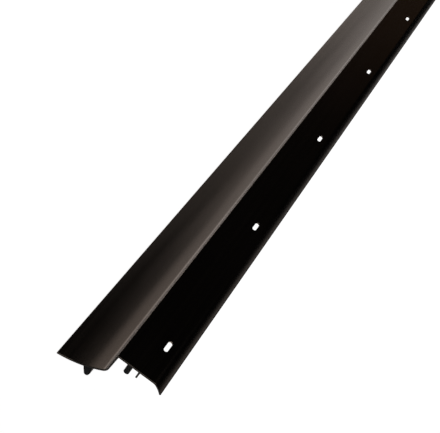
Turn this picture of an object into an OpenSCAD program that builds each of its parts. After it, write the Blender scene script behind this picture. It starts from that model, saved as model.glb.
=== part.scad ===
// Face-fixed door sweep: a dark bronze extrusion with a slotted flange, a curved lip
// and a hollow apron, and two soft strips pressed into grooves behind it.
// Frame: X along the sweep, +Y into the door, +Z up the flange, origin at the middle
// of the slot row on the flange's back face.

/* [Overall] */
// length of the sweep from end to end
sweep_length = 914.4; // [400:0.1:1300]
// thickness of the extrusion's walls
wall = 1.35; // [1:0.05:2]

/* [Flange] */
// height of the flat part of the flange, from the heel up to where the lip starts
flange_height = 29.4; // [26:0.1:40]
// height of the slot row above the heel
slot_row_height = 23.1; // [20.5:0.1:25]
// number of screw slots
slot_count = 6; // [3:1:9]
// distance between the slots' centres
slot_pitch = 169; // [40:0.5:180]
// width of a slot, for a small pan head screw
slot_width = 3.4; // [2.8:0.1:5]
// length of a slot, end to end
slot_length = 10.8; // [6:0.1:16]

/* [Lip] */
// radius of the tight bend where the lip leaves the flange
lip_bend_radius = 5; // [3:0.5:10]
// angle at which the tight bend gives way to the lip's easy curve
lip_bend_angle = 34; // [20:1:45]
// radius of the lip's easy curve
lip_radius = 21; // [12:1:40]

/* [Rib] */
// height of the bearing rib's middle above the heel
rib_height = 17.6; // [14:0.1:18.5]
// thickness of the bearing rib
rib_thickness = 1.5; // [1:0.1:2.5]
// depth behind the flange at which the rib and the lip's edge meet the door
bearing_depth = 6.2; // [4:0.1:9]

/* [Step and apron] */
// straight depth of the step wall behind the flange
step_depth = 15.75; // [10:0.25:25]
// lean of the step wall out of square
step_lean = 4.4; // [0:0.1:8]
// back radius of the bend between the step wall and the apron
cove_bend_radius = 8; // [6:0.5:12]
// slope of the apron where that bend ends
cove_start_angle = 37; // [30:1:45]
// back radius of the apron's curve
apron_radius = 78; // [60:1:100]
// slope of the apron at its edge
apron_end_angle = 9.2; // [5:0.1:14]

/* [Heel seal] */
// height of the heel seal's middle above the heel
heel_seal_height = 9.8; // [6:0.1:11]
// full width of the heel seal's head and of the groove around its foot
heel_seal_width = 4.4; // [3.8:0.1:6]
// how far the heel seal stands out behind the flange
heel_seal_depth = 9.5; // [7.5:0.1:14]
// depth of the heel seal's groove behind the flange
heel_groove_depth = 5.0; // [3.5:0.1:6]

/* [Apron seal] */
// how far below the heel the upper side of the apron seal's groove lies
apron_seal_drop = 10.7; // [8:0.1:14]
// width of the apron seal's groove where it leaves the apron
apron_groove_width = 7.0; // [6:0.1:9]
// slope of the groove's and the seal's lower side
apron_seal_taper = 23; // [0:1:25]
// depth of the groove's mouth behind the flange's back face
apron_groove_depth = 32.6; // [31.8:0.1:34]
// radius of the apron seal's rounded tip
apron_seal_tip_radius = 1.9; // [1:0.1:2.2]
// how far below the groove's upper side the rounded tip sits
apron_seal_tip_set = 0.7; // [0:0.1:1]
// depth of the apron seal's tip behind the flange's back face
apron_seal_depth = 36.6; // [36:0.1:42]

/* [Grooves] */
// thickness of a groove's legs
groove_wall = 0.8; // [0.6:0.05:1.2]
// how far each leg's hook closes the groove's mouth
groove_hook = 0.45; // [0.3:0.05:0.7]
// thickness of the hooks
hook_thickness = 0.8; // [0.6:0.05:1.2]
// gap between a soft strip's foot and its groove
seal_gap = 0.05; // [0.03:0.01:0.2]

/* [Output] */
// which piece to draw

/* [Hidden] */
bronze = [0.13, 0.11, 0.09];
soft_black = [0.04, 0.04, 0.04];
eps = 0.01;

// outlines are drawn as [depth behind the flange, height above the heel]
function along(a) = [cos(a), sin(a)];
function arc(c, r, a0, a1, n) =
    [for (i = [0:n]) c + r * along(a0 + (a1 - a0) * i / n)];
function back_to_front(p) = [for (i = [len(p) - 1:-1:0]) p[i]];

// step wall and apron: angles are those of the outward direction from each bend's centre
step_end = [step_depth * cos(step_lean), -step_depth * sin(step_lean)];
bend_centre = step_end - cove_bend_radius * along(90 - step_lean);
bend_end = bend_centre + cove_bend_radius * along(cove_start_angle);
apron_centre = bend_end - apron_radius * along(cove_start_angle);
apron_edge = apron_centre + apron_radius * along(apron_end_angle);
bend_steps = 8;
apron_steps = 14;

// depth of the apron's back face at a given height
function apron_back(h) =
    apron_centre[0] + sqrt(apron_radius * apron_radius - pow(h - apron_centre[1], 2));

// lip, whose edge comes to the same depth as the rib
lip_end_angle = acos(cos(lip_bend_angle)
    - (bearing_depth - lip_bend_radius * (1 - cos(lip_bend_angle))) / lip_radius);
lip_bend_centre = [lip_bend_radius, flange_height];
lip_bend_end = lip_bend_centre + lip_bend_radius * along(180 - lip_bend_angle);
lip_centre = lip_bend_end - lip_radius * along(180 - lip_bend_angle);
lip_steps = 6;

// heel's outer corner
heel_round = 0.6;
heel_steps = 4;

// slot row
slot_row_length = (slot_count - 1) * slot_pitch;
slot_round = slot_width / 2;

// grooves
heel_inner = heel_seal_width - 2 * groove_wall;
heel_mouth = heel_inner - 2 * groove_hook;
apron_groove_top = -apron_seal_drop;
apron_groove_low = [apron_back(apron_groove_top - apron_groove_width),
    apron_groove_top - apron_groove_width];

// height of the groove's sloping lower side at a depth, moved up by an offset
function taper_at(depth, up = 0) = apron_groove_low[1]
    + (depth - apron_groove_low[0]) * tan(apron_seal_taper) + up / cos(apron_seal_taper);

// height at which that side, moved up by an offset, meets the apron's back face with a gap
function taper_meets_apron(up, gap = 0, h = apron_groove_low[1], turns = 8) =
    turns == 0 ? h : taper_meets_apron(up, gap, taper_at(apron_back(h) + gap, up), turns - 1);

// direction from a circle's centre to where a line from p touches it
function touch(c, r, p, side) =
    let (d = p - c) atan2(d[1], d[0]) + side * acos(r / norm(d));

// carries an outline along the sweep, with its heel at the foot of the flange
module drawn_out(length = sweep_length) {
    translate([0, 0, -slot_row_height])
        rotate([90, 0, 90])
            linear_extrude(height = length, center = true)
                children();
}

module skin_outline() {
    polygon(concat(
        // back face, from the apron's edge up to the lip's edge
        arc(apron_centre, apron_radius, apron_end_angle, cove_start_angle, apron_steps),
        arc(bend_centre, cove_bend_radius,
            cove_start_angle + (90 - step_lean - cove_start_angle) / bend_steps,
            90 - step_lean, bend_steps - 1),
        [[0, 0]],
        arc(lip_bend_centre, lip_bend_radius, 180, 180 - lip_bend_angle, lip_steps),
        arc(lip_centre, lip_radius,
            180 - lip_bend_angle - (lip_end_angle - lip_bend_angle) / lip_steps,
            180 - lip_end_angle, lip_steps - 1),
        // front face, back down to the apron's edge
        back_to_front(arc(lip_centre, lip_radius + wall,
            180 - lip_bend_angle - (lip_end_angle - lip_bend_angle) / lip_steps,
            180 - lip_end_angle, lip_steps - 1)),
        back_to_front(arc(lip_bend_centre, lip_bend_radius + wall,
            180, 180 - lip_bend_angle, lip_steps)),
        arc([heel_round - wall, heel_round - wall * (1 + sin(step_lean)) / cos(step_lean)],
            heel_round, 180, 270 - step_lean, heel_steps),
        back_to_front(arc(bend_centre, cove_bend_radius - wall,
            cove_start_angle + (90 - step_lean - cove_start_angle) / bend_steps,
            90 - step_lean, bend_steps - 1)),
        back_to_front(arc(apron_centre, apron_radius - wall,
            apron_end_angle, cove_start_angle, apron_steps))
    ));
}

module rib_outline() {
    bevel = 0.2;
    low = rib_height - rib_thickness / 2;
    high = rib_height + rib_thickness / 2;
    polygon([[-wall / 2, low], [bearing_depth - bevel, low], [bearing_depth, low + bevel],
        [bearing_depth, high - bevel], [bearing_depth - bevel, high], [-wall / 2, high]]);
}

// one leg of a groove, on the upper (1) or lower (-1) side, with its inward hook
module groove_leg(side, root, depth, half) {
    outline = [for (p = [[root, half - groove_wall],
        [depth - hook_thickness, half - groove_wall],
        [depth - hook_thickness, half - groove_wall - groove_hook],
        [depth, half - groove_wall - groove_hook],
        [depth, half],
        [root, half]]) [p[0], side * p[1]]];
    polygon(side > 0 ? outline : back_to_front(outline));
}

module heel_groove_outline() {
    for (s = [-1, 1])
        translate([0, heel_seal_height])
            groove_leg(s, -wall / 2, heel_groove_depth, heel_seal_width / 2);
}

module apron_groove_outline() {
    mouth = apron_groove_depth;
    hook = mouth - hook_thickness;
    top = apron_groove_top;
    upper_root = apron_back(top) - wall / 2;
    lower_root = apron_groove_low[0] - wall / 2;
    // upper leg, square to the flange
    polygon([[upper_root, top - groove_wall], [hook, top - groove_wall],
        [hook, top - groove_wall - groove_hook], [mouth, top - groove_wall - groove_hook],
        [mouth, top], [upper_root, top]]);
    // lower leg, on the slope
    polygon([[lower_root, taper_at(lower_root)], [mouth, taper_at(mouth)],
        [mouth, taper_at(mouth, groove_wall + groove_hook)],
        [hook, taper_at(hook, groove_wall + groove_hook)],
        [hook, taper_at(hook, groove_wall)], [lower_root, taper_at(lower_root, groove_wall)]]);
}

module slot_cut(x) {
    translate([x, wall / 2, 0]) rotate([90, 0, 0])
        linear_extrude(height = 3 * wall, center = true)
            union() {
                square([slot_length - slot_width, slot_width], center = true);
                for (s = [-1, 1]) translate([s * (slot_length - slot_width) / 2, 0])
                    circle(r = slot_round, $fn = 48);
            }
}

module carrier() {
    color(bronze)
        difference() {
            drawn_out()
                union() {
                    skin_outline();
                    rib_outline();
                    heel_groove_outline();
                    apron_groove_outline();
                }
            for (i = [0:slot_count - 1])
                slot_cut(i * slot_pitch - slot_row_length / 2);
        }
}

module heel_seal() {
    nose = heel_seal_width / 2;
    foot = heel_inner / 2 - seal_gap;
    neck = heel_mouth / 2 - seal_gap;
    shoulder = heel_groove_depth - hook_thickness - seal_gap;
    color(soft_black)
        drawn_out()
            translate([0, heel_seal_height])
                polygon(concat(
                    [[seal_gap, -foot], [shoulder, -foot], [shoulder, -neck],
                        [heel_groove_depth + seal_gap, -neck],
                        [heel_groove_depth + seal_gap, -nose]],
                    arc([heel_seal_depth - nose, 0], nose, -90, 90, 12),
                    [[heel_groove_depth + seal_gap, nose],
                        [heel_groove_depth + seal_gap, neck],
                        [shoulder, neck], [shoulder, foot], [seal_gap, foot]]
                ));
}

module apron_seal() {
    side = groove_wall + seal_gap;
    neck = side + groove_hook;
    shoulder = apron_groove_depth - hook_thickness - seal_gap;
    brow = apron_groove_depth + seal_gap;
    top = apron_groove_top;
    tip_centre = [apron_seal_depth - apron_seal_tip_radius,
        top - apron_seal_tip_set - apron_seal_tip_radius];
    brow_low = [brow, taper_at(brow)];
    brow_high = [brow, top];
    // the foot's back follows the apron
    foot_low = taper_meets_apron(side, seal_gap);
    foot_high = top - side;
    foot_mid = (foot_low + foot_high) / 2;
    color(soft_black)
        drawn_out()
            polygon(concat(
                [[apron_back(foot_low) + seal_gap, foot_low],
                    [shoulder, taper_at(shoulder, side)], [shoulder, taper_at(shoulder, neck)],
                    [brow, taper_at(brow, neck)], brow_low],
                arc(tip_centre, apron_seal_tip_radius,
                    touch(tip_centre, apron_seal_tip_radius, brow_low, 1),
                    touch(tip_centre, apron_seal_tip_radius, brow_high, -1), 10),
                [brow_high, [brow, top - neck], [shoulder, top - neck],
                    [shoulder, foot_high], [apron_back(foot_high) + seal_gap, foot_high],
                    [apron_back(foot_mid) + seal_gap, foot_mid]]
            ));
}

carrier();
heel_seal();
apron_seal();
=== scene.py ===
from math import acos, atan2, cos, pi, radians, sin, sqrt, tan

import bmesh
import bpy
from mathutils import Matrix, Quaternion, Vector


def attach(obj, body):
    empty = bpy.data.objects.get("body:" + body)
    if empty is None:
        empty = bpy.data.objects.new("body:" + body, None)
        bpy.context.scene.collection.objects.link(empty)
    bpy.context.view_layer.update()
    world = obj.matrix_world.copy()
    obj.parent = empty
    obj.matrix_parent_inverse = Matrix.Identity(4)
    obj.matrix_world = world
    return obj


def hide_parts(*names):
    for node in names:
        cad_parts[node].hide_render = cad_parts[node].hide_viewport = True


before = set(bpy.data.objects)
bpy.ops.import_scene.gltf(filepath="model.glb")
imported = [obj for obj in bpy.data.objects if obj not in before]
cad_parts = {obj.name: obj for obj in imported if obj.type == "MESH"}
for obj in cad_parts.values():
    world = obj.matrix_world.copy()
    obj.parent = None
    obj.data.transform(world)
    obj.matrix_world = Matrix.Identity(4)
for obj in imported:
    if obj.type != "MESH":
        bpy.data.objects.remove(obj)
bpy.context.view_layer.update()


# Carrier: one dark bronze anodised aluminium extrusion, 36 inches long. A flat flange screws to the
# door's outside face, a lip curves back over its top edge, and below the heel a step wall and a
# hollow apron run in under the door. The extrusion is sawn to length and its slots are punched.

SWEEP_LENGTH = 0.9144
WALL = 0.00135
SLOT_ROW = 0.0231            # height of the slot row above the heel

FLANGE_HEIGHT = 0.0294
LIP_BEND, LIP_BEND_ANGLE, LIP_CURVE = 0.005, 34, 0.021
BEARING_DEPTH = 0.0062       # the rib and the lip's edge both rest on the door at this depth
RIB_HEIGHT, RIB_THICKNESS = 0.0176, 0.0015

STEP_DEPTH, STEP_LEAN = 0.01575, 4.4
COVE_BEND, COVE_ANGLE = 0.008, 37
APRON_CURVE, APRON_EDGE_ANGLE = 0.078, 9.2

GROOVE_WALL, GROOVE_HOOK, HOOK_THICKNESS = 0.0008, 0.00045, 0.0008
HEEL_SEAL_HEIGHT, HEEL_SEAL_WIDTH = 0.0098, 0.0044
HEEL_GROOVE_DEPTH = 0.005
APRON_GROOVE_TOP, APRON_GROOVE_WIDTH = -0.0107, 0.0070
APRON_TAPER, APRON_GROOVE_DEPTH = 23, 0.0326


def polar(centre, radius, degrees):
    """The point that lies this far from the centre, in the direction given in degrees."""
    return (centre[0] + radius * cos(radians(degrees)),
            centre[1] + radius * sin(radians(degrees)))


def sweep_of(centre, radius, start, end, steps):
    """Points on an arc, each with no corner left to ease."""
    return [polar(centre, radius, start + (end - start) * i / steps) + (0,)
            for i in range(steps + 1)]


EASE_STEPS = 4
GUARD = 0.0003               # keeps a corner's wear and painted highlight within this distance of it
EASE_SHARE = 0.45            # most of a side that the ease at one end may take
GUARD_SHARE = 0.48           # and the most that the ease and its guard may take together


def ease_corners(outline):
    """Turns (depth, height, radius) corners into small arcs, as a die leaves them.

    The second list says how far each point of the result stands out to be rubbed, from 0 to 1: edge
    wear, and a painted highlight where the finish is made lighter.
    """
    eased, rub_gleam = [], []
    for i, (y, z, r) in enumerate(outline):
        here = Vector((y, z))
        if not r:
            eased.append(here)
            rub_gleam.append(0.0)
            continue
        before = Vector(outline[i - 1][:2]) - here
        after = Vector(outline[(i + 1) % len(outline)][:2]) - here
        reach = min(r / tan(before.angle(after) / 2),
                    before.length * EASE_SHARE, after.length * EASE_SHARE)
        start = here + before.normalized() * reach
        end = here + after.normalized() * reach
        stands_out = 1.0 if before.cross(after) < 0 else 0.0
        eased.append(here + before.normalized() * min(reach + GUARD, before.length * GUARD_SHARE))
        rub_gleam.append(0.0)
        for k in range(EASE_STEPS + 1):
            t = k / EASE_STEPS
            eased.append(start * (1 - t) ** 2 + here * 2 * t * (1 - t) + end * t * t)
            rub_gleam.append(stands_out)
        eased.append(here + after.normalized() * min(reach + GUARD, after.length * GUARD_SHARE))
        rub_gleam.append(0.0)
    return eased, rub_gleam


step_end = (STEP_DEPTH * cos(radians(STEP_LEAN)), -STEP_DEPTH * sin(radians(STEP_LEAN)))
bend_centre = polar(step_end, -COVE_BEND, 90 - STEP_LEAN)
bend_end = polar(bend_centre, COVE_BEND, COVE_ANGLE)
apron_centre = polar(bend_end, -APRON_CURVE, COVE_ANGLE)


def apron_back(height):
    """Depth of the back of the apron at this height."""
    return apron_centre[0] + sqrt(APRON_CURVE ** 2 - (height - apron_centre[1]) ** 2)


def apron_angle(height):
    """Where this height falls on the apron's curve, in degrees."""
    return atan2(height - apron_centre[1], apron_back(height) - apron_centre[0]) * 180 / pi


lip_end_angle = acos(cos(radians(LIP_BEND_ANGLE))
                     - (BEARING_DEPTH - LIP_BEND * (1 - cos(radians(LIP_BEND_ANGLE))))
                     / LIP_CURVE) * 180 / pi
lip_bend_centre = (LIP_BEND, FLANGE_HEIGHT)
lip_centre = polar(polar(lip_bend_centre, LIP_BEND, 180 - LIP_BEND_ANGLE),
                   -LIP_CURVE, 180 - LIP_BEND_ANGLE)

groove_low = APRON_GROOVE_TOP - APRON_GROOVE_WIDTH
groove_low_depth = apron_back(groove_low)


def taper_at(depth, up=0.0):
    """Height of the groove's sloping lower side at this depth, or of a line above it."""
    return (groove_low + (depth - groove_low_depth) * tan(radians(APRON_TAPER))
            + up / cos(radians(APRON_TAPER)))


SETTLING_ROUNDS = 8          # tries that bring the two together


def taper_meets_apron(up, gap=0.0):
    """Height at which the groove's lower side, moved up, meets the back of the apron."""
    height = groove_low
    for _ in range(SETTLING_ROUNDS):
        height = taper_at(apron_back(height) + gap, up)
    return height


FILLET, EDGE = 0.00035, 0.00018
BLUNT_EDGE = 0.0004          # the free edges of the apron, the rib and the lip
HEEL_EASE = 0.0006           # outside corner where the flange turns in at the heel

# degrees left out of an arc: beside an edge or a groove's fillet, and where it runs on from another
BACK_EDGE_ROOM, FRONT_EDGE_ROOM, LIP_EDGE_ROOM = 1.2, 1, 2
GROOVE_ROOM = 0.8
BACK_BEND_JOIN, FRONT_BEND_JOIN, LIP_JOIN = 5, 4, 3

# apron groove: depth at which its hooks begin, how far they reach in, its top and its inner floor
hook = APRON_GROOVE_DEPTH - HOOK_THICKNESS
reach = GROOVE_WALL + GROOVE_HOOK
top = APRON_GROOVE_TOP
inner_low = taper_meets_apron(GROOVE_WALL)
# heel groove: half its height, depth at which its hooks begin, its bottom and its top
heel_half = HEEL_SEAL_WIDTH / 2
heel_hook = HEEL_GROOVE_DEPTH - HOOK_THICKNESS
heel_low, heel_high = HEEL_SEAL_HEIGHT - heel_half, HEEL_SEAL_HEIGHT + heel_half
BAND = 0.0035                # half height of the strip of flange that the slots are punched in
BAND_STEPS = (-1, -0.5, 0, 0.5, 1)

outline = []
# back of the apron up to its groove
outline += [polar(apron_centre, APRON_CURVE, APRON_EDGE_ANGLE) + (BLUNT_EDGE,)]
outline += sweep_of(apron_centre, APRON_CURVE, APRON_EDGE_ANGLE + BACK_EDGE_ROOM,
                    apron_angle(groove_low) - GROOVE_ROOM, steps=14)
outline += [(groove_low_depth, groove_low, FILLET),
            (APRON_GROOVE_DEPTH, taper_at(APRON_GROOVE_DEPTH), EDGE),
            (APRON_GROOVE_DEPTH, taper_at(APRON_GROOVE_DEPTH, reach), EDGE),
            (hook, taper_at(hook, reach), EDGE),
            (hook, taper_at(hook, GROOVE_WALL), EDGE),
            (apron_back(inner_low), inner_low, EDGE),
            (apron_back(top - GROOVE_WALL), top - GROOVE_WALL, EDGE),
            (hook, top - GROOVE_WALL, EDGE),
            (hook, top - reach, EDGE),
            (APRON_GROOVE_DEPTH, top - reach, EDGE),
            (APRON_GROOVE_DEPTH, top, EDGE),
            (apron_back(top), top, FILLET)]
# on up the apron, round the bend and along the step wall to the heel
outline += sweep_of(apron_centre, APRON_CURVE, apron_angle(top) + GROOVE_ROOM, COVE_ANGLE, steps=5)
outline += sweep_of(bend_centre, COVE_BEND, COVE_ANGLE + BACK_BEND_JOIN, 90 - STEP_LEAN, steps=12)
outline += [(0, 0, FILLET)]
# back of the flange with the heel groove and the rib
outline += [(0, heel_low, FILLET),
            (HEEL_GROOVE_DEPTH, heel_low, EDGE),
            (HEEL_GROOVE_DEPTH, heel_low + reach, EDGE),
            (heel_hook, heel_low + reach, EDGE),
            (heel_hook, heel_low + GROOVE_WALL, EDGE),
            (0, heel_low + GROOVE_WALL, EDGE),
            (0, heel_high - GROOVE_WALL, EDGE),
            (heel_hook, heel_high - GROOVE_WALL, EDGE),
            (heel_hook, heel_high - reach, EDGE),
            (HEEL_GROOVE_DEPTH, heel_high - reach, EDGE),
            (HEEL_GROOVE_DEPTH, heel_high, EDGE),
            (0, heel_high, FILLET),
            (0, RIB_HEIGHT - RIB_THICKNESS / 2, FILLET),
            (BEARING_DEPTH, RIB_HEIGHT - RIB_THICKNESS / 2, BLUNT_EDGE),
            (BEARING_DEPTH, RIB_HEIGHT + RIB_THICKNESS / 2, BLUNT_EDGE),
            (0, RIB_HEIGHT + RIB_THICKNESS / 2, FILLET)]
outline += [(0, SLOT_ROW + BAND * k, 0) for k in BAND_STEPS]
# lip, out and back, then the flange's face
outline += sweep_of(lip_bend_centre, LIP_BEND, 180, 180 - LIP_BEND_ANGLE, steps=6)
outline += sweep_of(lip_centre, LIP_CURVE, 180 - LIP_BEND_ANGLE - LIP_JOIN,
                    180 - lip_end_angle + LIP_EDGE_ROOM, steps=6)
outline += [polar(lip_centre, LIP_CURVE, 180 - lip_end_angle) + (BLUNT_EDGE,),
            polar(lip_centre, LIP_CURVE + WALL, 180 - lip_end_angle) + (BLUNT_EDGE,)]
outline += sweep_of(lip_centre, LIP_CURVE + WALL, 180 - lip_end_angle + LIP_EDGE_ROOM,
                    180 - LIP_BEND_ANGLE - LIP_JOIN, steps=6)
outline += sweep_of(lip_bend_centre, LIP_BEND + WALL, 180 - LIP_BEND_ANGLE, 180, steps=8)
outline += [(-WALL, SLOT_ROW + BAND * k, 0) for k in reversed(BAND_STEPS)]
outline += [(-WALL, -WALL * (1 + sin(radians(STEP_LEAN))) / cos(radians(STEP_LEAN)), HEEL_EASE)]
# front of the step wall, the bend and the hollow of the apron
outline += sweep_of(bend_centre, COVE_BEND - WALL, 90 - STEP_LEAN, COVE_ANGLE + FRONT_BEND_JOIN,
                    steps=14)
outline += sweep_of(apron_centre, APRON_CURVE - WALL, COVE_ANGLE, APRON_EDGE_ANGLE + FRONT_EDGE_ROOM,
                    steps=26)
outline += [polar(apron_centre, APRON_CURVE - WALL, APRON_EDGE_ANGLE) + (BLUNT_EDGE,)]

SLOT_COUNT, SLOT_PITCH = 6, 0.169
SLOT_WIDTH, SLOT_LENGTH = 0.0034, 0.0108
SLOT_BREAK = 0.00015         # how far the punched rim is broken back
MILLIMETRE = 0.001
slot_xs = [(i - (SLOT_COUNT - 1) / 2) * SLOT_PITCH for i in range(SLOT_COUNT)]
# rows of points across the sweep, measured from the middle of each slot
SLOT_STATIONS = [k * MILLIMETRE for k in (-8, -7, -6, -5, -4, -2, 0, 2, 4, 5, 6, 7, 8)]
NEARLY = 1e-6


def is_in_band(p, q, depth):
    """Is this stretch of the section part of the strip that the slots are punched in?"""
    return all(abs(y - depth) < NEARLY and abs(z - SLOT_ROW) < BAND + NEARLY for y, z in (p, q))


# directions in degrees: round the lower left of a slot, and across its right tip
LEFT_TURN, RIGHT_TIP = (-150, -135, -120, -105, -90), (-15, 0, 15)


def slot_ring(x, grow, depth):
    """One turn round a slot, matched point for point with the strip round it."""
    radius, straight = SLOT_WIDTH / 2 + grow, (SLOT_LENGTH - SLOT_WIDTH) / 2
    left = [polar((-straight, 0), radius, angle) for angle in LEFT_TURN]
    bottom = left + [(k * straight / 2, -radius) for k in (-1, 0, 1)]
    bottom += [(-u, v) for u, v in reversed(left)]
    tip = [polar((straight, 0), radius, angle) for angle in RIGHT_TIP]
    ring = bottom + tip
    ring += [(u, -v) for u, v in reversed(bottom)]
    ring += [(-u, v) for u, v in reversed(tip)]
    return [(x + u, depth, v) for u, v in ring]


END_BEVEL, END_INSET = 0.0002, 0.00012      # the saw leaves a hair of a bevel at each end
END_RUB_GLEAM = 0.3                # how far the sawn edges are rubbed, from 0 to 1: edge wear and a painted highlight
CUT_FACE = 1                 # second material of every piece, on the faces where it was cut off


def new_piece(name, bm):
    """Makes an object of a finished mesh."""
    bmesh.ops.recalc_face_normals(bm, faces=bm.faces)
    mesh = bpy.data.meshes.new(name)
    bm.to_mesh(mesh)
    bm.free()
    piece = bpy.data.objects.new(name, mesh)
    bpy.context.scene.collection.objects.link(piece)
    return piece


def bridge(bm, first, second, turned=False):
    """Joins two closed rings of the same count with a band of faces."""
    for k in range(len(first)):
        m = (k + 1) % len(first)
        quad = (first[k], first[m], second[m], second[k])
        bm.faces.new(tuple(reversed(quad)) if turned else quad)


def extrude_carrier():
    """Draws the section out along the sweep and lets the slots into the flange."""
    section, rub_gleam = ease_corners(outline)
    count, half = len(section), SWEEP_LENGTH / 2
    end_stations = [0, END_BEVEL, END_BEVEL + GUARD]
    xs = [s - half for s in end_stations]
    xs += [x + s for x in slot_xs for s in SLOT_STATIONS]
    xs += [half - s for s in reversed(end_stations)]
    bm = bmesh.new()
    # each point's rub paints the finish lighter there: edge wear with a painted highlight
    worn_gleam = bm.verts.layers.float.new("rub_gleam")

    def place(point, wear_gleam):
        vert = bm.verts.new(point)
        vert[worn_gleam] = wear_gleam
        return vert

    # one ring of points at each station, drawn in a little at the sawn ends
    rows = []
    for x in xs:
        inset = END_INSET if abs(x) > half - END_BEVEL / 2 else 0
        at_end = abs(x) > half - END_BEVEL - GUARD / 2
        ring = []
        for i, p in enumerate(section):
            run = (section[(i + 1) % count] - section[i - 1]).normalized()
            ring.append(place((x, p.x - run.y * inset, p.y - SLOT_ROW + run.x * inset),
                              END_RUB_GLEAM if at_end else rub_gleam[i]))
        rows.append(ring)
    for end in (rows[0], rows[-1]):
        bm.faces.new(end).material_index = CUT_FACE
    # skin between the rings, left open in a window round each slot
    for i in range(count):
        j = (i + 1) % count
        punched = any(is_in_band(section[i], section[j], depth) for depth in (0, -WALL))
        for n in range(len(xs) - 1):
            middle = (xs[n] + xs[n + 1]) / 2
            if punched and any(abs(middle - x) < SLOT_STATIONS[-1] for x in slot_xs):
                continue
            bm.faces.new((rows[n][i], rows[n][j], rows[n + 1][j], rows[n + 1][i]))
    # each window closed in to its slot on both faces, and the slot's wall between them
    for number, x in enumerate(slot_xs):
        first = len(end_stations) + number * len(SLOT_STATIONS)
        last = first + len(SLOT_STATIONS) - 1
        walls = []
        for depth, side in ((-WALL, -1), (0, 1)):
            band = [i for i, p in enumerate(section) if is_in_band(p, p, depth)]
            low, *between, high = sorted(band, key=lambda i: section[i].y)
            edge = [rows[n][low] for n in range(first, last + 1)]
            edge += [rows[last][i] for i in between]
            edge += [rows[n][high] for n in range(last, first - 1, -1)]
            edge += [rows[first][i] for i in reversed(between)]
            # the punched rim and the slot's wall are fully rubbed: edge wear with a painted
            # highlight
            halo = [place(p, 0.0) for p in slot_ring(x, SLOT_BREAK + GUARD, depth)]
            rim = [place(p, 1.0) for p in slot_ring(x, SLOT_BREAK, depth)]
            wall = [place(p, 1.0) for p in slot_ring(x, 0, depth - side * SLOT_BREAK)]
            for a, b in ((edge, halo), (halo, rim), (rim, wall)):
                bridge(bm, a, b, side > 0)
            walls.append(wall)
        bridge(bm, walls[0], walls[1])
    return new_piece("carrier_extrusion", bm)


METAL_CRISP = 40             # degrees of turn that stay a crisp edge on the metal
SHADING_WEIGHT = 80


def smooth_with_crisp_edges(piece, degrees):
    """Shades a piece smooth, but keeps edges that turn more than this many degrees."""
    for face in piece.data.polygons:
        face.use_smooth = True
    piece.data.set_sharp_from_angle(angle=radians(degrees))
    weighted = piece.modifiers.new("even_shading", "WEIGHTED_NORMAL")
    weighted.keep_sharp = True
    weighted.weight = SHADING_WEIGHT


def start_material(name):
    """A new finish, with its nodes, its links and its shader."""
    material = bpy.data.materials.new(name)
    material.use_nodes = True
    nodes = material.node_tree.nodes
    return material, nodes, material.node_tree.links, nodes["Principled BSDF"]


def stretched_noise(nodes, links, scale, detail, stretch):
    """Noise drawn out along the sweep, the way a die draws its marks."""
    place = nodes.new("ShaderNodeTexCoord")
    mapping = nodes.new("ShaderNodeMapping")
    mapping.inputs["Scale"].default_value = stretch
    noise = nodes.new("ShaderNodeTexNoise")
    noise.inputs["Scale"].default_value = scale
    noise.inputs["Detail"].default_value = detail
    links.new(place.outputs["Object"], mapping.inputs["Vector"])
    links.new(mapping.outputs["Vector"], noise.inputs["Vector"])
    return noise


def spread(nodes, links, source, low, high, start=0.3, end=0.7):
    """Maps a noise to a range of values."""
    remap = nodes.new("ShaderNodeMapRange")
    remap.inputs["From Min"].default_value = start
    remap.inputs["From Max"].default_value = end
    remap.inputs["To Min"].default_value = low
    remap.inputs["To Max"].default_value = high
    links.new(source, remap.inputs["Value"])
    return remap.outputs["Result"]


def blend_colours(nodes, links, factor, first, second):
    """Mixes two colours, each a plain colour or the output of another blend."""
    mix = nodes.new("ShaderNodeMix")
    mix.data_type = "RGBA"
    for name, colour in (("A", first), ("B", second)):
        if isinstance(colour, tuple):
            mix.inputs[name].default_value = colour
        else:
            links.new(colour, mix.inputs[name])
    links.new(factor, mix.inputs["Factor"])
    return mix.outputs["Result"]


def add_bump(nodes, links, shader, height, strength, distance):
    """Raises fine marks on a finish, up to this distance in metres."""
    bump = nodes.new("ShaderNodeBump")
    bump.inputs["Strength"].default_value = strength
    bump.inputs["Distance"].default_value = distance
    links.new(height, bump.inputs["Height"])
    links.new(bump.outputs["Normal"], shader.inputs["Normal"])


def combine(nodes, links, operation, first, second):
    """Adds or multiplies two patterns."""
    math = nodes.new("ShaderNodeMath")
    math.operation = operation
    links.new(first, math.inputs[0])
    links.new(second, math.inputs[1])
    return math.outputs["Value"]


BRONZE_DEEP, BRONZE_PALE = (0.085, 0.068, 0.056, 1), (0.110, 0.091, 0.078, 1)
BRONZE_HAIR_LINE = (0.070, 0.056, 0.047, 1)
# colour of rubbed edges: edge wear with a painted highlight
BRONZE_RUBBED_GLEAM = (0.26, 0.215, 0.175, 1)
# sawn ends much darker than the bronze face: painted shade
SAWN_SHADE_DEEP, SAWN_SHADE_PALE = (0.016, 0.013, 0.011, 1), (0.036, 0.030, 0.026, 1)


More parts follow.
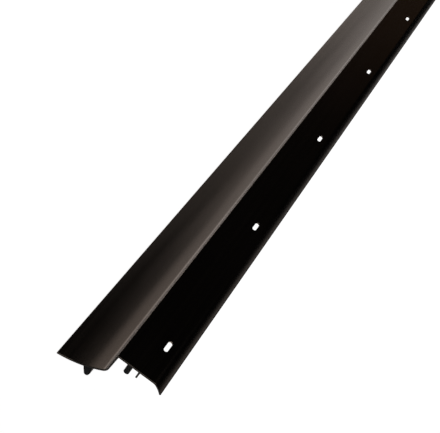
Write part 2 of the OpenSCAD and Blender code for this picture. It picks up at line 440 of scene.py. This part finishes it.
def bronze_anodise():
    """Satin dark bronze: cloudy in tone, with fine die lines and edges painted a little lighter,
    partly wear and partly a painted highlight.
    """
    material, nodes, links, shader = start_material("dark_bronze_anodise")
    shader.inputs["Metallic"].default_value = 1.0
    die_lines = stretched_noise(nodes, links, 900, 2, (0.004, 1, 1)).outputs["Fac"]
    hair_lines = stretched_noise(nodes, links, 4200, 2, (0.006, 1, 1)).outputs["Fac"]
    cloud = stretched_noise(nodes, links, 16, 4, (0.35, 1, 1)).outputs["Fac"]
    patches = stretched_noise(nodes, links, 240, 3, (0.3, 1, 1)).outputs["Fac"]
    # rubbed edges, broken up in patches, are painted lighter: wear and a painted highlight
    rub_gleam = nodes.new("ShaderNodeAttribute")
    rub_gleam.attribute_name = "rub_gleam"
    worn_gleam = combine(nodes, links, "MULTIPLY", rub_gleam.outputs["Fac"],
                   spread(nodes, links, patches, 0.1, 0.8, 0.4, 0.65))
    bronze = blend_colours(nodes, links, spread(nodes, links, cloud, 0, 1),
                           BRONZE_DEEP, BRONZE_PALE)
    lined = blend_colours(nodes, links, spread(nodes, links, hair_lines, 0, 0.35),
                          bronze, BRONZE_HAIR_LINE)
    links.new(blend_colours(nodes, links, worn_gleam, lined, BRONZE_RUBBED_GLEAM),
              shader.inputs["Base Color"])
    satin = combine(nodes, links, "ADD", spread(nodes, links, die_lines, 0.19, 0.24),
                    spread(nodes, links, cloud, 0.0, 0.025))
    links.new(satin, shader.inputs["Roughness"])
    marks = combine(nodes, links, "ADD", die_lines, hair_lines)
    add_bump(nodes, links, shader, marks, 0.1, 0.00001)
    return material


def sawn_bronze_shade():
    """The sawn ends: the dark finish painted much darker, as shade, over the saw's tooth marks."""
    material, nodes, links, shader = start_material("sawn_end_bronze_painted_shade")
    shader.inputs["Metallic"].default_value = 1.0
    tooth_marks = stretched_noise(nodes, links, 2600, 2, (1, 1, 0.05)).outputs["Fac"]
    colour = blend_colours(nodes, links, spread(nodes, links, tooth_marks, 0, 1),
                           SAWN_SHADE_DEEP, SAWN_SHADE_PALE)
    links.new(colour, shader.inputs["Base Color"])
    links.new(spread(nodes, links, tooth_marks, 0.42, 0.6), shader.inputs["Roughness"])
    add_bump(nodes, links, shader, tooth_marks, 0.3, 0.00003)
    return material


carrier = extrude_carrier()
smooth_with_crisp_edges(carrier, METAL_CRISP)
carrier.data.materials.append(bronze_anodise())
carrier.data.materials.append(sawn_bronze_shade())
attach(carrier, "root")
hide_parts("carrier")


# Heel seal: a soft black strip with a round nose, pressed into the groove just above the heel.
# Its foot is held by the groove's hooks and it closes the corner at the door's lower edge.

SEAL_GAP = 0.00005           # clearance between a strip and its groove
HEEL_SEAL_DEPTH = 0.0095
SEAL_EASE = 0.0002
SEAL_CUT_SHORT = 0.0003      # each end of a strip stops this far inside the sawn end
STRIP_STATIONS = 97
VINYL_CRISP = 50             # the soft strips keep fewer edges crisp than the metal


def draw_strip(name, corners):
    """Draws a soft strip along the sweep, with ends cut a hair short."""
    section, _ = ease_corners(corners)
    half = SWEEP_LENGTH / 2 - SEAL_CUT_SHORT
    bm = bmesh.new()
    rows = []
    for n in range(STRIP_STATIONS):
        x = -half + 2 * half * n / (STRIP_STATIONS - 1)
        rows.append([bm.verts.new((x, p.x, p.y - SLOT_ROW)) for p in section])
    for end in (rows[0], rows[-1]):
        bm.faces.new(end).material_index = CUT_FACE
    for a, b in zip(rows, rows[1:]):
        bridge(bm, a, b)
    return new_piece(name, bm)


VINYL_DEEP, VINYL_PALE = (0.006, 0.006, 0.006, 1), (0.014, 0.013, 0.013, 1)
VINYL_BLOOM = (0.032, 0.031, 0.030, 1)
# knife-cut seal ends darker than the vinyl skin: painted shade
CUT_SHADE_DEEP, CUT_SHADE_PALE = (0.003, 0.003, 0.003, 1), (0.009, 0.009, 0.009, 1)


def soft_black(name, grain):
    """Matt black vinyl with drawn-out flow lines, a little greyer where it has bloomed."""
    material, nodes, links, shader = start_material(name)
    skin = stretched_noise(nodes, links, grain, 3, (0.15, 1, 1)).outputs["Fac"]
    bloom = stretched_noise(nodes, links, 45, 4, (0.4, 1, 1)).outputs["Fac"]
    black = blend_colours(nodes, links, spread(nodes, links, skin, 0, 1),
                          VINYL_DEEP, VINYL_PALE)
    links.new(blend_colours(nodes, links, spread(nodes, links, bloom, 0, 0.5, 0.45, 0.75),
                            black, VINYL_BLOOM), shader.inputs["Base Color"])
    links.new(spread(nodes, links, skin, 0.5, 0.68), shader.inputs["Roughness"])
    add_bump(nodes, links, shader, skin, 0.3, 0.00004)
    return material


def cut_black_shade():
    """The knife-cut ends of both seals: duller than their skin, painted darker as shade, and
    open-grained.
    """
    material, nodes, links, shader = start_material("seal_cut_end_painted_shade")
    crumb = stretched_noise(nodes, links, 2600, 4, (1, 1, 1)).outputs["Fac"]
    links.new(blend_colours(nodes, links, spread(nodes, links, crumb, 0, 1),
                            CUT_SHADE_DEEP, CUT_SHADE_PALE),
              shader.inputs["Base Color"])
    shader.inputs["Roughness"].default_value = 0.85
    shader.inputs["Specular IOR Level"].default_value = 0.2
    add_bump(nodes, links, shader, crumb, 0.4, 0.00005)
    return material


# half heights of the foot and the neck, and depths of the foot's shoulder and the nose's brow
foot = heel_half - GROOVE_WALL - SEAL_GAP
neck = foot - GROOVE_HOOK
shoulder = heel_hook - SEAL_GAP
brow = HEEL_GROOVE_DEPTH + SEAL_GAP
mid = HEEL_SEAL_HEIGHT
heel_section = [(SEAL_GAP, mid - foot, SEAL_EASE), (shoulder, mid - foot, SEAL_EASE),
                (shoulder, mid - neck, SEAL_EASE), (brow, mid - neck, SEAL_EASE),
                (brow, mid - heel_half, SEAL_EASE)]
heel_section += sweep_of((HEEL_SEAL_DEPTH - heel_half, mid), heel_half, -90, 90, steps=18)
heel_section += [(brow, mid + heel_half, SEAL_EASE), (brow, mid + neck, SEAL_EASE),
                 (shoulder, mid + neck, SEAL_EASE), (shoulder, mid + foot, SEAL_EASE),
                 (SEAL_GAP, mid + foot, SEAL_EASE)]
heel_seal = draw_strip("heel_seal_strip", heel_section)
smooth_with_crisp_edges(heel_seal, VINYL_CRISP)
shaded_seal_ends = cut_black_shade()
heel_seal.data.materials.append(soft_black("heel_seal_vinyl", 700))
heel_seal.data.materials.append(shaded_seal_ends)
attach(heel_seal, "root")
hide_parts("heel_seal")


# Apron seal: a soft black strip that narrows to a round tip, pressed into the groove behind the
# apron. Its tip stands level with the apron's edge and presses against the sill.

APRON_SEAL_DEPTH = 0.0366
APRON_TIP = 0.0019           # radius of the round tip
APRON_TIP_SET = 0.0007       # how far the tip's top lies below the groove's


def touch(centre, radius, point, side):
    """Direction from a circle's centre to where a line from the point touches it."""
    dy, dz = point[0] - centre[0], point[1] - centre[1]
    away = sqrt(dy * dy + dz * dz)
    return (atan2(dz, dy) + side * acos(radius / away)) * 180 / pi


# how far the foot and the neck stand in from the groove's sides, and the same two depths as before
side = GROOVE_WALL + SEAL_GAP
neck = side + GROOVE_HOOK
shoulder = hook - SEAL_GAP
brow = APRON_GROOVE_DEPTH + SEAL_GAP
tip_centre = (APRON_SEAL_DEPTH - APRON_TIP, top - APRON_TIP_SET - APRON_TIP)
foot_low, foot_high = taper_meets_apron(side, SEAL_GAP), top - side
foot_mid = (foot_low + foot_high) / 2
brow_low, brow_high = (brow, taper_at(brow)), (brow, top)
apron_section = [(apron_back(foot_low) + SEAL_GAP, foot_low, SEAL_EASE),
                 (shoulder, taper_at(shoulder, side), SEAL_EASE),
                 (shoulder, taper_at(shoulder, neck), SEAL_EASE),
                 (brow, taper_at(brow, neck), SEAL_EASE),
                 brow_low + (SEAL_EASE,)]
apron_section += sweep_of(tip_centre, APRON_TIP, touch(tip_centre, APRON_TIP, brow_low, 1),
                          touch(tip_centre, APRON_TIP, brow_high, -1), steps=18)
apron_section += [brow_high + (SEAL_EASE,), (brow, top - neck, SEAL_EASE),
                  (shoulder, top - neck, SEAL_EASE), (shoulder, foot_high, SEAL_EASE),
                  (apron_back(foot_high) + SEAL_GAP, foot_high, SEAL_EASE),
                  (apron_back(foot_mid) + SEAL_GAP, foot_mid, 0)]
apron_seal = draw_strip("apron_seal_strip", apron_section)
smooth_with_crisp_edges(apron_seal, VINYL_CRISP)
apron_seal.data.materials.append(soft_black("apron_seal_vinyl", 600))
apron_seal.data.materials.append(shaded_seal_ends)
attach(apron_seal, "root")
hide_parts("apron_seal")


# Floor: a plain pale sheet a little over a metre below the sweep, wide enough to fill any view. It
# glows an even white, and it stays out of reflections so that only the soft boxes light the metal.

FLOOR_SIZE, FLOOR_DROP = 80, 1.1
bpy.ops.mesh.primitive_plane_add(size=FLOOR_SIZE, location=(0, 0, -FLOOR_DROP))
floor = bpy.context.object
floor.name = "floor"
pale, nodes, links, shader = start_material("pale_floor")
shader.inputs["Base Color"].default_value = (0.85, 0.85, 0.85, 1)
shader.inputs["Roughness"].default_value = 0.9
shader.inputs["Emission Color"].default_value = (1, 1, 1, 1)
shader.inputs["Emission Strength"].default_value = 1.0
floor.data.materials.append(pale)
floor.visible_glossy = False
floor.visible_diffuse = False


# Light: a white room that stays dim in reflections, level soft boxes under the sweep that light the
# hollow of the apron and leave the flange dark, a narrow pair overhead for the lip, and larger boxes
# in front, behind and at both ends that show the other sides.

ROOM_IN_REFLECTIONS, ROOM_SEEN = 0.004, 1.05
bpy.context.scene.view_settings.view_transform = "Standard"
world = bpy.data.worlds.new("studio")
bpy.context.scene.world = world
world.use_nodes = True
nodes, links = world.node_tree.nodes, world.node_tree.links
room = nodes["Background"]
room.inputs["Color"].default_value = (1, 1, 1, 1)
seen = nodes.new("ShaderNodeLightPath")
strength = nodes.new("ShaderNodeMapRange")
strength.inputs["To Min"].default_value = ROOM_IN_REFLECTIONS
strength.inputs["To Max"].default_value = ROOM_SEEN
links.new(seen.outputs["Is Camera Ray"], strength.inputs["Value"])
links.new(strength.outputs["Result"], room.inputs["Strength"])


SWEEP_MIDDLE = Vector((0, 0, 0))
LOW, OVERHEAD = -0.9, 1.25   # heights at which the level boxes hang
WHITE, WARM, EMBER = (1, 1, 1), (1, 0.95, 0.92), (1, 0.62, 0.38)


def soft_box(name, place, width, height, glow, colour=WHITE):
    """A rectangular soft box turned to the sweep, its brightness given as the glow of its face."""
    data = bpy.data.lights.new(name, "AREA")
    data.shape = "RECTANGLE"
    data.size, data.size_y = width, height
    data.energy = glow * width * height * pi
    data.color = colour
    box = bpy.data.objects.new(name, data)
    bpy.context.scene.collection.objects.link(box)
    box.location = place
    box.rotation_euler = (SWEEP_MIDDLE - Vector(place)).to_track_quat("-Z", "Y").to_euler()
    box.visible_camera = False
    return box


def hang_flat(name, x_range, y_range, height, glow, colour=WHITE):
    """A soft box laid level, over or under the sweep, and facing it."""
    box = soft_box(name, (sum(x_range) / 2, sum(y_range) / 2, height),
                   x_range[1] - x_range[0], y_range[1] - y_range[0], glow, colour)
    box.rotation_euler = (pi if height < 0 else 0, 0, 0)


# low boxes in bands across the sweep, each with the glow of its near, middle and far stretch
LOW_BANDS = [((0.0, 0.5), (0.0, -0.9, -2.0, -3.6), (1.45, 1.05, 0.78)),
             ((-0.38, 0.0), (0.0, -0.9, -2.0, -3.6), (0.70, 0.86, 0.80)),
             ((-0.75, -0.38), (0.0, -0.9, -2.0, -3.6), (0.04, 0.37, 0.73)),
             ((-1.2, -0.75), (-0.3, -1.3, -2.6, -4.2), (0, 0.25, 0.76)),
             ((-1.9, -1.2), (-0.7, -1.9, -3.4, -5.5), (0, 0.35, 1.08))]
for y_range, x_stops, glows in LOW_BANDS:
    for near, far, glow in zip(x_stops, x_stops[1:], glows):
        if glow:
            hang_flat("low_box", (far, near), y_range, LOW, glow, WARM)
hang_flat("overhead_dim", (-3.6, -0.30), (-0.10, 0.12), OVERHEAD, 0.10, WARM)
hang_flat("overhead", (-3.6, -0.30), (0.12, 0.40), OVERHEAD, 0.37, WARM)
soft_box("beyond", (-9.0, -3.2, 0.0), 2.5, 2.0, 0.07, EMBER)

# boxes for the other sides: low and high in front of the flange, behind the sweep, and at its ends
hang_flat("front_low", (0.1, 3.0), (-3.4, -1.0), LOW, 0.9)
hang_flat("front_low_dim", (-1.9, -1.35), (-1.9, -1.2), LOW, 0.15)
soft_box("front", (1.4, -4.5, 1.2), 5.0, 4.2, 0.7)
soft_box("front_left", (-1.7, -4.0, 2.2), 1.4, 1.6, 0.4)
soft_box("behind", (0.6, 3.4, 1.3), 6.5, 2.6, 1.8)
hang_flat("behind_low", (-3.0, 3.0), (1.2, 3.5), LOW, 1.2)
soft_box("near_end", (3.6, -0.3, 0.5), 2.4, 2.4, 0.9)
soft_box("far_end", (-4.0, 0.5, 0.2), 1.6, 1.6, 0.3)


# Camera: a long lens from beyond the near end and in front of the flange, rolled over so that the
# sweep runs up to the right and narrows into the distance.

CAMERA_PLACE = Vector((0.9026, -0.5292, 0.0008))
LOOK = Vector((-0.7668, 0.6408, -0.0364))
ROLL, LENS = 126.05, 80.61
camera_data = bpy.data.cameras.new("camera")
camera_data.lens = LENS
camera_data.clip_start, camera_data.clip_end = 0.05, 100
camera = bpy.data.objects.new("camera", camera_data)
bpy.context.scene.collection.objects.link(camera)
camera.location = CAMERA_PLACE
turn = LOOK.to_track_quat("-Z", "Y") @ Quaternion((0, 0, 1), radians(ROLL))
camera.rotation_euler = turn.to_euler()
bpy.context.scene.camera = camera

bpy.context.view_layer.update()
